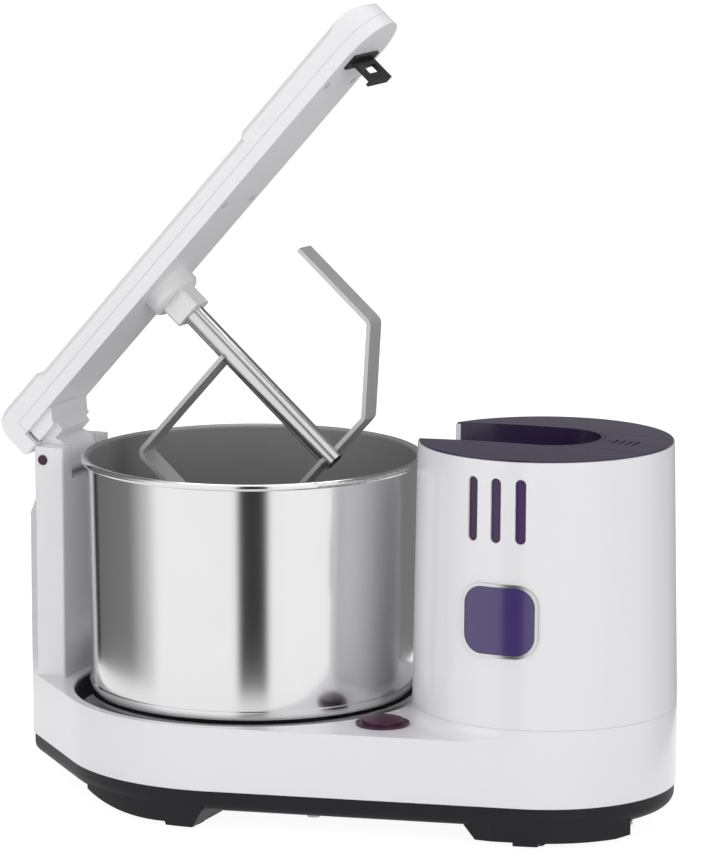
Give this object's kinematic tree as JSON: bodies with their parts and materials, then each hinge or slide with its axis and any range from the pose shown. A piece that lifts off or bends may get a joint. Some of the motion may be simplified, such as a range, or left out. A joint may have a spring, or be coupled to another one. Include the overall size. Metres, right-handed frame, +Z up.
{
  "type": "wet grinder",
  "caption": "Tabletop wet grinder: a steel drum turned by a belt from a motor tower, and a tilting arm that lowers a dough kneader into the drum.",
  "frame": {"origin": "on the worktop, under the middle of the bounding box as the part rests, with the arm open", "axes": "+Z up, +X from the drum towards the motor tower, -Y towards the user"},
  "size_m": [0.4511, 0.2438, 0.509],
  "materials": {
    "white_plastic": "gloss",
    "navy_plastic": "satin",
    "plum_plastic": "satin",
    "violet_plate": "gloss",
    "black_plastic": "gloss",
    "milky_plastic": "satin",
    "black_rubber": "matte",
    "brushed_steel": "brushed",
    "polished_steel": "polished",
    "plain_steel": "satin",
    "cast_aluminium": "satin",
    "granite": "matte, speckled",
    "copper_wire": "satin"
  },
  "bodies": {
    "base": {"base_shell": "white_plastic", "well_liner": "navy_plastic", "bottom_tray": "navy_plastic", "foot_pads": "black_rubber", "tray_screws": "plain_steel", "hinge_column": "white_plastic", "hinge_pin": "polished_steel", "hinge_plugs": "plum_plastic", "motor_tower": "white_plastic", "vent_liner": "plum_plastic", "badge_plate": "violet_plate", "badge_rim": "polished_steel", "top_cap": "plum_plastic", "bearing_housing": "cast_aluminium", "spindle_bearings": "plain_steel", "drive_belt": "black_rubber", "motor_lower_bracket": "cast_aluminium", "motor_upper_bracket": "cast_aluminium", "motor_bearings": "plain_steel", "stator_core": "plain_steel", "stator_windings": "copper_wire", "motor_tie_bolts": "plain_steel", "motor_posts": "plain_steel", "capacitor": "black_plastic", "power_switch": "black_plastic", "switch_bezel": "polished_steel", "button_spring": "plain_steel", "latch_spring": "plain_steel", "power_inlet": "black_plastic"},
    "drum": {"drum_body": "brushed_steel", "drum_pan": "brushed_steel", "base_stone": "granite", "stone_nut": "polished_steel", "drum_hub": "cast_aluminium", "spindle": "plain_steel", "drum_pulley": "cast_aluminium", "circlip": "plain_steel"},
    "rotor": {"rotor_core": "plain_steel", "motor_shaft": "plain_steel", "motor_pulley": "cast_aluminium", "cooling_fan": "black_plastic"},
    "button": {"power_button": "plum_plastic"},
    "latch": {"lock_key": "plum_plastic", "lock_hook": "black_plastic"},
    "arm": {"arm_shell": "white_plastic", "arm_cover": "white_plastic", "hinge_knuckle": "white_plastic", "shaft_socket": "milky_plastic", "kneader_shaft": "polished_steel", "loop_blade": "brushed_steel", "wall_blade": "brushed_steel", "striker": "black_plastic", "arm_screws": "plain_steel"}
  },
  "joints": [
    {"name": "arm_tilt", "type": "hinge", "parent": "base", "child": "arm", "pos_m": [-0.19359, 0, 0.2101], "axis": [0, 1, 0], "range_deg": [0, 48]},
    {"name": "drum_spin", "type": "hinge", "parent": "base", "child": "drum", "pos_m": [-0.05969, 0, 0.061], "axis": [0, 0, 1], "continuous": true},
    {"name": "rotor_spin", "type": "hinge", "parent": "base", "child": "rotor", "pos_m": [0.14231, 0, 0.061], "axis": [0, 0, 1], "continuous": true},
    {"name": "button_press", "type": "slide", "parent": "base", "child": "button", "axis": [0, 0, -1], "range_m": [0, 0.0025], "stiffness_N_per_m": 600, "springref_m": -0.003, "deforming": ["button_spring"]},
    {"name": "latch_slide", "type": "slide", "parent": "base", "child": "latch", "axis": [1, 0, 0], "range_m": [0, 0.004], "stiffness_N_per_m": 500, "springref_m": -0.004, "deforming": ["latch_spring"]}
  ],
  "couplings": [
    {"joint": "rotor_spin", "follows": "drum_spin", "ratio": 8.5106}
  ]
}
